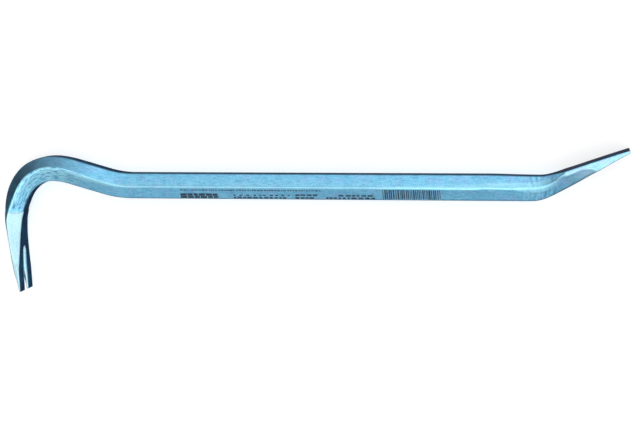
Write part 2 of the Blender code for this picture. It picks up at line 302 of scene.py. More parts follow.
# Steel: the roughness of its streaks, what rough places add to it, and what wear takes off it
STEEL_ROUGHNESS = (0.34, 0.44)
ROUGH_PLACE_ROUGHNESS = 0.05
WEAR_POLISH = 0.08

# Steel: where its flattened ends and its rough places fade in or out along the bar
CLAW_FLAT_FADE = (0.058, 0.0595)
CHISEL_FLAT_FADE = (0.472, 0.482)
ROUGH_HOOK_FADE = (0.100, 0.160)
ROUGH_BEND_START = (0.438, 0.460)
ROUGH_BEND_FADE = (0.468, 0.485)

# The steel's patterns, as outputs of nodes, and the places that they go by
Patterns = namedtuple("Patterns", "where along hook bend rough clouds lilac flecks grain streaks marks")

# Noise: the span that most of its values lie in, and its levels of detail
NOISE_SPAN = (0.3, 0.7)
PLAIN_DETAIL = 2.0
FINE_DETAIL = 3.0

# Film and ink
FILM_TONE = (0.25, 0.45, 0.55, 1.0)
FILM_TONE_PALE = (0.40, 0.60, 0.70, 1.0)
FILM_ALPHA = (0.015, 0.045)
FILM_ROUGHNESS = (0.25, 0.40)
FILM_BUMP = 0.02 * MM
FILM_CREASE_LENGTH = 14.0 * MM
FILM_CREASE_WIDTH = 2.0 * MM
FILM_HAZE_WAVE = 4.0 * MM
INK_DARK = (0.012, 0.030, 0.060, 1.0)
INK_WORN = (0.050, 0.110, 0.170, 1.0)
INK_ROUGHNESS = (0.45, 0.65)
INK_BUMP = 0.005 * MM
INK_SPOT_WAVE = 0.9 * MM
INK_SPOT_SPAN = (0.45, 0.70)

# Studio: the floor, the key light, with its width in degrees, and the glows in the surroundings
WHITE = (1.0, 1.0, 1.0, 1.0)
FLOOR_TONE = (0.60, 0.60, 0.60, 1.0)
FLOOR_GLOW = 0.58
FLOOR_REACH = 12.0
FLOOR_DROP = 0.02 * MM
KEY_DIRECTION = (0.0, -0.12, 0.99)
KEY_WIDTH = 60.0
KEY_STRENGTH = 0.95
WORLD_LEVEL = 0.12
Glow = namedtuple("Glow", "direction strength sharpness")
GLOWS = [
    Glow((0.25, 0.80, 0.55), 1.50, 10.0),
    Glow((-0.36, -0.84, 0.41), 0.43, 12.0),
    Glow((-0.42, -0.80, 0.42), 0.34, 40.0),
    Glow((0.745, -0.12, 0.65), 0.90, 3.0),
    Glow((-0.50, 0.75, 0.42), 0.20, 8.0),
    Glow((0.06, -0.76, 0.65), 0.64, 40.0),
    Glow((-0.50, 0.84, 0.20), 0.45, 24.0),
    Glow((-0.33, 0.48, 0.80), 0.30, 30.0),
    Glow((-0.45, 0.66, 0.60), 0.38, 30.0),
    Glow((-0.40, -0.55, 0.73), 0.60, 40.0),
]

# One row of marks on the film: its reach along the shank, its heights on the face, its marks' lengths and gap
PrintRow = namedtuple("PrintRow", "start finish low high shortest longest gap")
PRINT_ROWS = [
    PrintRow(-90.5 * MM, 13.0 * MM, 7.5 * MM, 8.2 * MM, 0.6 * MM, 1.8 * MM, 0.8 * MM),
    PrintRow(-91.0 * MM, -63.5 * MM, 1.0 * MM, 2.5 * MM, 3.0 * MM, 5.0 * MM, 0.7 * MM),
    PrintRow(-91.0 * MM, -63.5 * MM, 3.0 * MM, 4.8 * MM, 3.0 * MM, 5.0 * MM, 0.7 * MM),
    PrintRow(-52.0 * MM, -11.0 * MM, 1.0 * MM, 2.0 * MM, 1.4 * MM, 3.4 * MM, 1.0 * MM),
    PrintRow(-52.0 * MM, -11.0 * MM, 3.2 * MM, 4.0 * MM, 1.2 * MM, 2.6 * MM, 2.4 * MM),
    PrintRow(-7.0 * MM, 9.0 * MM, 1.0 * MM, 2.1 * MM, 1.8 * MM, 3.6 * MM, 0.9 * MM),
    PrintRow(-7.0 * MM, 9.0 * MM, 3.4 * MM, 4.5 * MM, 1.8 * MM, 3.6 * MM, 0.9 * MM),
    PrintRow(15.0 * MM, 50.0 * MM, 1.0 * MM, 2.1 * MM, 1.6 * MM, 4.0 * MM, 1.2 * MM),
    PrintRow(24.0 * MM, 50.0 * MM, 3.2 * MM, 4.3 * MM, 1.6 * MM, 4.0 * MM, 1.2 * MM),
    PrintRow(55.5 * MM, 96.5 * MM, 1.2 * MM, 9.0 * MM, 0.35 * MM, 1.1 * MM, 0.7 * MM),
]

# One run of the centreline, which is straight or turns evenly
Run = namedtuple("Run", "name length turn")


def centreline_runs():
    """The runs in order. The neck's bend turns back just enough to bring the shank square to the claw."""
    hook_turn = math.radians(HOOK_TURN)
    crown_turn = math.radians(CROWN_TURN)
    neck_turn = hook_turn + crown_turn - math.pi / 2
    bend_turn = math.radians(BEND_TURN)
    return [
        Run("claw", CLAW_LENGTH, 0.0),
        Run("hook", HOOK_RADIUS * hook_turn, -hook_turn),
        Run("crown", CROWN_RADIUS * crown_turn, -crown_turn),
        Run("neck", NECK_LENGTH, 0.0),
        Run("neck_bend", NECK_RADIUS * abs(neck_turn), neck_turn),
        Run("shank", SHANK_LENGTH, 0.0),
        Run("chisel_bend", BEND_RADIUS * bend_turn, bend_turn),
        Run("chisel", CHISEL_LENGTH, 0.0),
    ]


def run_spans():
    """Start and end of each run, as distances along the centreline."""
    spans = {}
    place = 0.0
    for run in centreline_runs():
        spans[run.name] = (place, place + run.length)
        place += run.length
    return spans


def centreline_point(place):
    """Position, from the claw's tip, and heading of the centreline at a distance along it."""
    x, y, heading = 0.0, 0.0, math.pi / 2
    left = place
    for run in centreline_runs():
        if left <= 0 or run.length == 0:
            continue
        part = min(left, run.length)
        turned = run.turn * part / run.length
        chord = 2 * part / turned * math.sin(turned / 2) if turned else part
        x += chord * math.cos(heading + turned / 2)
        y += chord * math.sin(heading + turned / 2)
        heading += turned
        left -= part
    return x, y, heading


def stock_section(place):
    """The hexagonal bar's own section, with its two side ridges slightly flattened."""
    half = ACROSS_FLATS / 2
    flat = half * math.tan(FLANK_SLOPE)
    ridge = ACROSS_FLATS / math.sqrt(3) - RIDGE_LAND / 2 * math.tan(FLANK_SLOPE)
    land = RIDGE_LAND / 2 / ACROSS_FLATS
    return Section(place, half, -half, flat, flat, ridge, 0.5 + land, 0.5 - land)


def tip_section(front, thickness, width):
    """The section at a forged tip. The stages give the side land."""
    half = width / 2
    flat = half - TIP_CHAMFER
    return Section(0.0, front + thickness, front, flat, flat, half, None, None)


def staged_section(stage, tip, place):
    """The section between the tip's and the bar's that a stage describes."""
    stock = stock_section(place)
    sizes = [getattr(tip, size) + getattr(stage, size) * (getattr(stock, size) - getattr(tip, size))
             for size in STAGED_SIZES]
    return Section(place, *sizes, stage.land_back, stage.land_front)


def bar_sections():
    """Sections along the whole bar, in order from the claw's tip to the chisel's."""
    end = run_spans()["chisel"][1]
    claw_tip = tip_section(-CLAW_TIP_OFFSET, CLAW_TIP_THICKNESS, CLAW_WIDTH)
    chisel_tip = tip_section(-CHISEL_TIP_THICKNESS / 2, CHISEL_TIP_THICKNESS, CHISEL_WIDTH)
    claw = [staged_section(stage, claw_tip, stage.place * CLAW_LENGTH) for stage in CLAW_STAGES]
    chisel = [staged_section(stage, chisel_tip, end - stage.place * CHISEL_LENGTH)
              for stage in reversed(CHISEL_STAGES)]
    stock = [stock_section(claw[-1].place + CLAW_STOCK_MARGIN),
             stock_section(chisel[0].place - CHISEL_STOCK_MARGIN)]
    return claw + stock + chisel


def smooth_slopes(places, values):
    """Slopes of a smooth curve through the values that never overshoots them."""
    steps = np.diff(values) / np.diff(places)
    slopes = np.empty_like(values)
    slopes[0] = steps[0]
    slopes[-1] = steps[-1]
    for i in range(1, len(values) - 1):
        before, after = steps[i - 1], steps[i]
        slopes[i] = 2 * before * after / (before + after) if before * after > 0 else 0.0
    return slopes


def section_at(sections, place):
    """Smooth blend of the stated sections at a distance along the centreline."""
    places = np.array([section.place for section in sections])
    i = int(np.clip(np.searchsorted(places, place) - 1, 0, len(places) - 2))
    span = places[i + 1] - places[i]
    t = (place - places[i]) / span
    blended = []
    for field in Section._fields[1:]:
        values = np.array([getattr(section, field) for section in sections])
        slopes = smooth_slopes(places, values)
        rise = t * t * (3 - 2 * t)
        bend = span * (slopes[i] * t * (1 - t) ** 2 - slopes[i + 1] * t * t * (1 - t))
        blended.append(values[i] + (values[i + 1] - values[i]) * rise + bend)
    return Section(place, *blended)


def land_edges(section):
    """Front and back edge of the section's side land, as distances from the centreline."""
    thickness = section.back - section.front
    return section.front + thickness * section.land_front, section.front + thickness * section.land_back


def section_corners(section):
    """The section's eight corners as (distance from the centreline, z), round from the near front one."""
    land_front, land_back = land_edges(section)
    near = [
        (section.front, section.front_flat),
        (land_front, section.half_width),
        (land_back, section.half_width),
        (section.back, section.back_flat),
    ]
    far = [(distance, -z) for distance, z in reversed(near)]
    return [np.array(corner) for corner in near + far]


def rounded_corner(corner, before, after, size):
    """Short curve in place of a corner, between points on the sides to its two neighbours."""
    to_before = before - corner
    to_after = after - corner
    start = corner + to_before * min(size / np.linalg.norm(to_before), CORNER_SHARE)
    finish = corner + to_after * min(size / np.linalg.norm(to_after), CORNER_SHARE)
    shares = [step / ROUND_STEPS for step in range(ROUND_STEPS + 1)]
    return [start * (1 - t) ** 2 + corner * 2 * t * (1 - t) + finish * t * t for t in shares]


def pressed_corners(section):
    """The section's corners with those of its side ridges moved apart, over the flanks beside them."""
    corners = section_corners(section)
    front = np.interp(section.place, FRONT_PRESS_PLACES, FRONT_PRESS_SIZES)
    back = np.interp(section.place, BACK_PRESS_PLACES, BACK_PRESS_SIZES)
    moves = [(i, j, front) for i, j in zip(FRONT_RIDGE_CORNERS, FRONT_CORNERS)]
    moves += [(i, j, back) for i, j in zip(BACK_RIDGE_CORNERS, BACK_CORNERS)]
    for i, j, size in moves:
        flank = corners[j] - corners[i]
        corners[i] = corners[i] + flank * min(size / np.linalg.norm(flank), CORNER_SHARE)
    return corners


def fine_outline(section):
    """The closed outline, round by the front from the middle of the far side land.

    A row is a point's distance and z, the sides before and after it, and how far it is from one to the other.
    """
    corners = pressed_corners(section)
    sizes = np.zeros(len(corners))
    sizes[list(FRONT_CORNERS)] = np.interp(section.place, FLAT_ROUND_PLACES, FLAT_ROUND_SIZES)
    sizes[list(FRONT_RIDGE_CORNERS)] = np.interp(section.place, FRONT_ROUND_PLACES, FRONT_ROUND_SIZES)
    sizes[list(BACK_RIDGE_CORNERS)] = np.interp(section.place, BACK_ROUND_PLACES, BACK_ROUND_SIZES)
    sizes = np.maximum(sizes, np.interp(section.place, EDGE_ROUND_PLACES, EDGE_ROUND_SIZES))
    arcs = [rounded_corner(corner, corners[i - 1], corners[(i + 1) % len(corners)], sizes[i])
            for i, corner in enumerate(corners)]
    rows = []
    for i in SIDE_ORDER:
        before = (i - 1) % len(corners)
        rows += [(*point, before, i, step / ROUND_STEPS) for step, point in enumerate(arcs[i])]
        finish = arcs[(i + 1) % len(arcs)][0]
        steps = LAND_STEPS if i in LANDS else FACE_STEPS
        along = [arcs[i][-1] + (finish - arcs[i][-1]) * step / steps for step in range(1, steps)]
        rows += [(*point, i, i, 0.0) for point in along]
    return np.roll(rows, LAND_STEPS // 2, axis=0)


def side_finish(place):
    """Shares of wear and painted highlight and of painted shade on the eight sides, at a distance along the
    bar.
    """
    worn_and_highlit = np.zeros(len(SIDE_ORDER))
    worn_and_highlit[list(FRONT_FLANKS)] = np.interp(place, FLANK_HIGHLIGHT_PLACES, FLANK_WEAR_AND_HIGHLIGHT)
    # The claw's flattened sides take the pale tone nearly all over: partly burnished metal, partly a painted
    # highlight
    if place < DIE_MARK:
        worn_and_highlit[list(FRONT_FLANKS)] = CLAW_WEAR_AND_HIGHLIGHT
    worn_and_highlit[list(LANDS)] = np.interp(place, RIDGE_HIGHLIGHT_PLACES, RIDGE_WEAR_AND_HIGHLIGHT)
    painted_shade = np.zeros(len(SIDE_ORDER))
    painted_shade[list(LANDS)] = np.interp(place, RIDGE_SHADE_PLACES, RIDGE_PAINTED_SHADE)
    painted_shade[list(BACK_SIDES)] = np.interp(place, OUTER_SHADE_PLACES, OUTER_PAINTED_SHADE)
    painted_shade[BACK_FLAT] = max(painted_shade[BACK_FLAT], np.interp(place, BACK_SHADE_PLACES, BACK_PAINTED_SHADE))
    painted_shade[FRONT_FLAT] = np.interp(place, FRONT_SHADE_PLACES, FRONT_PAINTED_SHADE)
    return np.array((worn_and_highlit, painted_shade))


def spread_wear_and_highlight(section, distances):
    """Wear and painted highlight that the side ridges spread over the flanks, from full at a ridge to none at
    the flats.
    """
    land_front, land_back = land_edges(section)
    front = np.interp(distances, (section.front, land_front), (0.0, 1.0)) * (distances <= land_back)
    back = np.interp(distances, (land_back, section.back), (1.0, 0.0)) * (distances >= land_front)
    front_spread_share = np.interp(section.place, FRONT_SPREAD_PLACES, FRONT_SPREAD_WEAR_AND_HIGHLIGHT)
    back_spread_share = np.interp(section.place, BACK_SPREAD_PLACES, BACK_SPREAD_WEAR_AND_HIGHLIGHT)
    return np.maximum(front_spread_share * front ** FRONT_SPREAD_FALL, back_spread_share * back ** BACK_SPREAD_FALL)


def point_finish(section, outline):
    """Shares of wear and painted highlight and of painted shade at the outline's points. An edge takes after
    the side with more of each.
    """
    sides = side_finish(section.place)
    before, after = outline[:, 2].astype(int), outline[:, 3].astype(int)
    share = outline[:, 4]
    worn_and_highlit, painted_shade = np.maximum(sides[:, before] * (1 - share ** EDGE_HOLD),
                             sides[:, after] * (1 - (1 - share) ** EDGE_HOLD))
    worn_and_highlit = np.maximum(worn_and_highlit, spread_wear_and_highlight(section, outline[:, 0]))
    return np.array((worn_and_highlit, painted_shade * (1 - worn_and_highlit)))


def ring_places(sections):
    """Distances along the bar of its rings: where a run ends or a section is stated, and evenly between."""
    ends = {place for span in run_spans().values() for place in span}
    stops = sorted(ends | {item.place for item in sections})
    places = [stops[0]]
    for start, finish in zip(stops, stops[1:]):
        count = math.ceil((finish - start) / RING_STEP)
        places += [start + (finish - start) * (step + 1) / count for step in range(count)]
    return places


def softened(places, rings):
    """The rings with the points near the chisel's bend evened out along the bar."""
    share = np.interp(places, SOFT_PLACES, SOFT_SHARES)[1:-1, None, None] / 2
    for _round in range(SOFT_ROUNDS):
        middles = (rings[:-2] + rings[2:]) / 2
        rings = np.concatenate([rings[:1], rings[1:-1] + (middles - rings[1:-1]) * share, rings[-1:]])
    return rings


def bar_rings():
    """The bar's rings from the claw's tip, and each point's distance round the bar, its wear and painted
    highlight and its painted shade.
    """
    sections = bar_sections()
    places = ring_places(sections)
    rings, arounds, finishes = [], [], []
    for place in places:
        x, y, heading = centreline_point(place)
        section = section_at(sections, place)
        outline = fine_outline(section)
        points = outline[:, :2]
        rings.append([(x - distance * math.sin(heading), y + distance * math.cos(heading), z)
                      for distance, z in points])
        steps = np.linalg.norm(np.roll(points, -1, axis=0) - points, axis=1)
        around = np.concatenate([[0.0], np.cumsum(steps)])
        arounds.append(around - around[len(points) // 2])
        finishes.append(point_finish(section, outline))
    return places, softened(places, np.array(rings)), np.array(arounds), np.array(finishes)


def bar_shift(rings):
    """Shift from the claw tip's frame that brings the rings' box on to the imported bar's box."""
    points = rings.reshape(-1, 3)
    low, high = (np.array(corner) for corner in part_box("forged_bar"))
    return (low + high) / 2 - (points.min(axis=0) + points.max(axis=0)) / 2


def relief(point, place):
    """How far the forged surface lies below the ideal one at a point from the claw's tip."""
    long_wave = noise.noise(Vector(point / RELIEF_LONG_WAVE))
    short_wave = noise.noise(Vector(point / RELIEF_SHORT_WAVE))
    level = RELIEF_EVEN_SHARE + RELIEF_LONG_SHARE * long_wave + RELIEF_SHORT_SHARE * short_wave
    sideways = min(1.0, abs(point[2]) / (ACROSS_FLATS / 2))
    pressed = float(np.interp(place, (DIE_MARK, DIE_MARK + DIE_MARK_WIDTH), (0.0, DIE_STEP))) * sideways
    pressed *= float(np.interp(place, (DIE_MARK, DIE_FADE), (1.0, 0.0)))
    return max(level, 0.0) * float(np.interp(place, RELIEF_PLACES, RELIEF_DEPTHS)) + pressed


def sunk_rings(places, rings):
    """The rings with the forged unevenness pressed in."""
    ahead = np.gradient(rings, axis=0)
    across = np.roll(rings, -1, axis=1) - np.roll(rings, 1, axis=1)
    outward = np.cross(across, ahead)
    outward /= np.linalg.norm(outward, axis=2, keepdims=True)
    middles = rings.mean(axis=1, keepdims=True)
    if np.sum((rings - middles) * outward) < 0:
        outward = -outward
    depths = np.array([[relief(point, place) for point in ring] for place, ring in zip(places, rings)])
    return rings - outward * depths[..., None]


def add_skin_faces(shape, skin, loops, places, arounds):
    """Faces between the loops and over both ends, with the distances along and round the bar as their map."""
    count = len(loops[0])
    for i in range(len(loops) - 1):
        for j in range(count):
            k = (j + 1) % count
            face = shape.faces.new((loops[i][j], loops[i + 1][j], loops[i + 1][k], loops[i][k]))
            corners = ((i, j), (i + 1, j), (i + 1, j + 1), (i, j + 1))
            for loop, (row, column) in zip(face.loops, corners):
                loop[skin].uv = (places[row], arounds[row][column])
    for row in (0, -1):
        face = shape.faces.new(loops[row])
        for loop, around in zip(face.loops, arounds[row]):
            loop[skin].uv = (places[row], around)


def finished_mesh(name, shape):
    mesh = bpy.data.meshes.new(name)
    shape.to_mesh(mesh)
    shape.free()
    return mesh


def skin_mesh(name, places, rings, arounds, finishes):
    """Closed mesh over the rings, with the shares of wear and painted highlight and of painted shade at its
    points.
    """
    shape = bmesh.new()
    skin = shape.loops.layers.uv.new("skin")
    layers = [shape.verts.layers.float.new(share_name) for share_name in ("wear_and_highlight", "painted_shade")]
    loops = []
    for ring, finish in zip(rings, finishes):
        loops.append([shape.verts.new(point) for point in ring])
        for layer, shares in zip(layers, finish):
            for vertex, share in zip(loops[-1], shares):
                vertex[layer] = share
    add_skin_faces(shape, skin, loops, places, arounds)
    bmesh.ops.recalc_face_normals(shape, faces=shape.faces)
    mesh = finished_mesh(name, shape)
    mesh.shade_smooth()
    mesh.set_sharp_from_angle(angle=math.radians(SHARP_ANGLE))
    return mesh


def add_object(name, mesh):
    item = bpy.data.objects.new(name, mesh)
    bpy.context.scene.collection.objects.link(item)
    return item


def slot_cutter(shift):
    """Tapered slot with a round root, through the claw's thickness from its tip."""
    root = SLOT_ROOT_WIDTH / 2
    mouth = SLOT_MOUTH_WIDTH / 2
    widening = (mouth - root) / (SLOT_DEPTH - root) * SLOT_OVERRUN
    outline = [(-SLOT_OVERRUN, mouth + widening), (SLOT_DEPTH - root, root)]
    for step in range(1, ROOT_STEPS):
        angle = math.pi * step / ROOT_STEPS
        outline.append((SLOT_DEPTH - root + root * math.sin(angle), root * math.cos(angle)))
    outline += [(SLOT_DEPTH - root, -root), (-SLOT_OVERRUN, -mouth - widening)]
    reach = (-ACROSS_FLATS, ACROSS_FLATS)
    rings = np.array([[(across, along, z) for along, z in outline] for across in reach]) + shift
    arounds = np.array([[z for _along, z in outline] + [outline[0][1]]] * len(reach))
    bare = np.zeros((2, len(outline)))
    mesh = skin_mesh("slot_cutter", reach, rings, arounds, [bare] * len(reach))
    mesh.materials.append(steel_material("slot_steel", STEEL_CUT, worn_and_highlit=1.0))
    return add_object("slot_cutter", mesh)


def cut_slot(bar, shift):
    """Cuts the nail slot out of the bar's claw."""
    cutter = slot_cutter(shift)
    slot = bar.modifiers.new("nail_slot", "BOOLEAN")
    slot.object = cutter
    slot.operation = "DIFFERENCE"
    slot.solver = "EXACT"
    slot.material_mode = "TRANSFER"
    bpy.context.view_layer.update()
    cut = bpy.data.meshes.new_from_object(bar.evaluated_get(bpy.context.evaluated_depsgraph_get()))
    bar.modifiers.clear()
    bar.data = cut
    bpy.data.objects.remove(cutter, do_unlink=True)


def make_bar(places, rings, arounds, finishes, shift):
    """The forged bar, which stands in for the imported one."""
    mesh = skin_mesh("bar_skin", places, sunk_rings(places, rings) + shift, arounds, finishes)
    mesh.materials.append(steel_material("forged_steel", STEEL_WORN_HIGHLIGHT))
    bar = add_object("bar_skin", mesh)
    cut_slot(bar, shift)
    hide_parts("forged_bar")
    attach(bar, "root")


def add_mark(shape, axis, span, heights):
    """One mark of ink on the film: a thin block, at heights from the front corner up to the side ridge."""
    stock = stock_section(0.0)
    corner = np.array((stock.front, stock.front_flat))
    up = np.array((math.cos(FLANK_SLOPE), math.sin(FLANK_SLOPE)))
    outward = np.array((-up[1], up[0]))
    levels = []
    for lift in (PRINT_LIFT, PRINT_LIFT + PRINT_THICKNESS):
        level = []
        for along, height in ((0, 0), (1, 0), (1, 1), (0, 1)):
            distance, z = corner + up * heights[height] + outward * (FILM_GAP + FILM_THICKNESS + lift)
            level.append(shape.verts.new((span[along], axis[0] + distance, axis[1] + z)))
        levels.append(level)
    lower, upper = levels
    shape.faces.new(lower)
    shape.faces.new(upper)
    for i in range(len(lower)):
        j = (i + 1) % len(lower)
        shape.faces.new((lower[i], lower[j], upper[j], upper[i]))


def make_print(shift):
    """Plain dashes and stripes of ink, which stand for the print without being any lettering."""
    _x, axis_y, _heading = centreline_point(run_spans()["shank"][0])
    axis = (axis_y + shift[1], shift[2])
    chance = np.random.default_rng(PRINT_SEED)
    shape = bmesh.new()
    for row in PRINT_ROWS:
        start = row.start
        while start + row.shortest < row.finish:
            finish = min(start + chance.uniform(row.shortest, row.longest), row.finish)
            add_mark(shape, axis, (start, finish), (row.low, row.high))
            start = finish + row.gap * chance.uniform(*GAP_SPREAD)
    bmesh.ops.recalc_face_normals(shape, faces=shape.faces)
    mesh = finished_mesh("film_print", shape)
    mesh.materials.append(ink_material())
    marks = add_object("film_print", mesh)
    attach(marks, "root")


def add_node(tree, kind, inputs=None, **settings):
    """A node with its settings, and its inputs given values or linked to other nodes' outputs."""
    item = tree.nodes.new(kind)
    for setting, value in settings.items():
        setattr(item, setting, value)
    for key, value in (inputs or {}).items():
        if isinstance(value, bpy.types.NodeSocket):
            tree.links.new(value, item.inputs[key])
        else:
            item.inputs[key].default_value = value
    return item


def maths(tree, operation, first, second):
    return add_node(tree, "ShaderNodeMath", {0: first, 1: second}, operation=operation).outputs["Value"]


def times(tree, first, second):
    return maths(tree, "MULTIPLY", first, second)


def inverse(tree, share):
    return maths(tree, "SUBTRACT", 1.0, share)


def speckle(tree, where, wavelength, detail=PLAIN_DETAIL):
    """Noise from 0 to 1 whose features are about a wavelength apart."""
    inputs = {"Vector": where, "Scale": 1 / wavelength, "Detail": detail}
    return add_node(tree, "ShaderNodeTexNoise", inputs).outputs["Fac"]


def stretched_speckle(tree, where, wavelengths):
    """Noise whose features have their own wavelength along each axis. A map has only two axes."""
    inputs = {"Vector": where, "Scale": [1 / wavelength for wavelength in (*wavelengths, 1.0)[:3]]}
    place = add_node(tree, "ShaderNodeMapping", inputs).outputs["Vector"]
    return speckle(tree, place, 1.0, FINE_DETAIL)


def remap(tree, value, start, finish, low=0.0, high=1.0):
    """Smooth change from low to high as the value goes from start to finish."""
    inputs = {"Value": value, "From Min": start, "From Max": finish, "To Min": low, "To Max": high}
    return add_node(tree, "ShaderNodeMapRange", inputs, interpolation_type="SMOOTHSTEP").outputs["Result"]


def fade(tree, share, low, high):
    """Smooth change from low to high as a share goes from none to all."""
    return remap(tree, share, 0.0, 1.0, low, high)


def blend(tree, share, first, second):
    inputs = {"Fac": share, "Color1": first, "Color2": second}
    return add_node(tree, "ShaderNodeMixRGB", inputs).outputs["Color"]


def attribute(tree, name):
    return add_node(tree, "ShaderNodeAttribute", attribute_name=name).outputs["Fac"]


def object_place(tree):
    return add_node(tree, "ShaderNodeTexCoord").outputs["Object"]


def add_bump(tree, shader, height, depth):
    bump = add_node(tree, "ShaderNodeBump", {"Height": height, "Distance": depth})
    tree.links.new(bump.outputs["Normal"], shader.inputs["Normal"])


def new_material(name):
    material = bpy.data.materials.new(name)
    material.use_nodes = True
    return material, material.node_tree, material.node_tree.nodes["Principled BSDF"]


def rough_shares(tree, along):
    """1 where hammering left the surface rough: on the hook above the die mark, and at the chisel's bend."""
    hook = remap(tree, along, DIE_MARK, DIE_MARK + DIE_MARK_WIDTH)
    hook = times(tree, hook, remap(tree, along, *ROUGH_HOOK_FADE, 1.0, 0.0))
    bend = remap(tree, along, *ROUGH_BEND_START)
    return hook, times(tree, bend, remap(tree, along, *ROUGH_BEND_FADE, 1.0, 0.0))


def forge_marks(tree, skin, bend):
    """Noise of the marks from forging: strokes along the bar, and ripples across it at the chisel's bend."""
    strokes = stretched_speckle(tree, skin, (MARK_LENGTH, MARK_WIDTH))
    ripples = stretched_speckle(tree, skin, (RIPPLE_LENGTH, RIPPLE_WIDTH))
    return maths(tree, "ADD", times(tree, strokes, inverse(tree, bend)), times(tree, ripples, bend))


def steel_patterns(tree):
    """The steel's patterns, and the place and the rough places that they go by."""
    where = object_place(tree)
    skin = add_node(tree, "ShaderNodeUVMap", uv_map="skin").outputs["UV"]
    along = add_node(tree, "ShaderNodeSeparateXYZ", {"Vector": skin}).outputs["X"]
    hook, bend = rough_shares(tree, along)
    return Patterns(
        where=where,
        along=along,
        hook=hook,
        bend=bend,
        rough=maths(tree, "MAXIMUM", hook, bend),
        clouds=speckle(tree, where, CLOUD_WAVE),
        lilac=speckle(tree, where, LILAC_WAVE),
        flecks=speckle(tree, where, FLECK_WAVE, FINE_DETAIL),
        grain=speckle(tree, where, GRAIN_WAVE),
        streaks=stretched_speckle(tree, skin, (STREAK_LENGTH, STREAK_WIDTH)),
        marks=forge_marks(tree, skin, bend),
    )


def plain_tone(tree, patterns):
    """Colour of plain steel: clouds of blue and lilac, pale streaks, and pale and dark flecks."""
    tone = blend(tree, remap(tree, patterns.clouds, *CLOUD_SPAN), STEEL_DEEP, STEEL_BLUE)
    lilac = remap(tree, patterns.along, *CHISEL_FLAT_FADE, LILAC_SHARE, LILAC_CHISEL_SHARE)
    lilac = times(tree, lilac, remap(tree, patterns.lilac, *LILAC_SPAN))
    tone = blend(tree, lilac, tone, STEEL_LILAC)
    tone = blend(tree, remap(tree, patterns.streaks, *STREAK_SPAN, 0.0, STREAK_PALE), tone, STEEL_PALE)
    pale = fade(tree, patterns.rough, *FLECK_PALE)
    pale = times(tree, pale, remap(tree, patterns.flecks, *PALE_FLECK_SPAN))
    tone = blend(tree, pale, tone, STEEL_PALE)
    return blend(tree, remap(tree, patterns.flecks, *DARK_FLECK_SPAN, FLECK_DARK, 0.0), tone, STEEL_DARK)


def marked_tone(tree, patterns, tone, painted_shade):
    """The tone with pale and dark marks from forging, strongest on the hook, where no painted shade covers
    them.
    """
    share = maths(tree, "MAXIMUM", fade(tree, patterns.bend, *MARK_SHARE), patterns.hook)
    share = times(tree, share, inverse(tree, painted_shade))
    pale = times(tree, share, remap(tree, patterns.marks, *PALE_MARK_SPAN, 0.0, MARK_PALE))
    dark = times(tree, share, remap(tree, patterns.marks, *DARK_MARK_SPAN, MARK_DARK, 0.0))
    return blend(tree, dark, blend(tree, pale, tone, STEEL_PALE), STEEL_DARK)


def wear_and_highlight_share(tree, patterns, worn_and_highlit):
    """Share of worn metal and painted highlight, thinned out by flecks and streaks, and kept off the dark
    strokes on the hook.
    """
    worn_and_highlit = times(tree, worn_and_highlit, remap(tree, patterns.flecks, *WEAR_AND_HIGHLIGHT_FLECK_SPAN, WEAR_AND_HIGHLIGHT_LEAST, 1.0))
    worn_and_highlit = times(tree, worn_and_highlit, remap(tree, patterns.streaks, *WEAR_AND_HIGHLIGHT_STREAK_SPAN, WEAR_AND_HIGHLIGHT_LEAST, 1.0))
    spared = remap(tree, patterns.marks, *UNWORN_MARK_SPAN, MARK_UNWORN, 0.0)
    return times(tree, worn_and_highlit, inverse(tree, times(tree, patterns.hook, spared)))


def flat_ends(tree, along):
    """1 on the flattened claw and chisel, 0 on the bar between them."""
    claw = remap(tree, along, *CLAW_FLAT_FADE, 1.0, 0.0)
    return maths(tree, "MAXIMUM", claw, remap(tree, along, *CHISEL_FLAT_FADE))


def die_line(tree, patterns):
    """Share of scale in the ragged line that the die's edge leaves across the claw's sides."""
    sway = speckle(tree, patterns.where, DIE_LINE_WAVE)
    sway = remap(tree, sway, *NOISE_SPAN, -DIE_LINE_SWAY, DIE_LINE_SWAY)
    ragged = maths(tree, "ADD", patterns.along, sway)
    rise = remap(tree, ragged, DIE_MARK - DIE_LINE_WIDTH, DIE_MARK)
    fall = remap(tree, ragged, DIE_MARK, DIE_MARK + DIE_LINE_WIDTH, DIE_LINE_SCALE, 0.0)
    fall = times(tree, fall, remap(tree, patterns.flecks, *DIE_LINE_BREAKS))
    normal = add_node(tree, "ShaderNodeNewGeometry").outputs["Normal"]
    upward = add_node(tree, "ShaderNodeSeparateXYZ", {"Vector": normal}).outputs["Z"]
    flank = remap(tree, maths(tree, "ABSOLUTE", upward, 0.0), *DIE_LINE_UPWARD)
    return times(tree, flank, times(tree, rise, fall))


def shade_and_scale_share(tree, patterns, painted_shade):
    """Share of painted shade, which the flecks thin out, with the line of dark scale that the die's edge
    leaves.
    """
    painted_shade = times(tree, painted_shade, remap(tree, patterns.flecks, *SHADE_FLECK_SPAN, SHADE_LEAST, 1.0))
    return maths(tree, "MAXIMUM", painted_shade, die_line(tree, patterns))


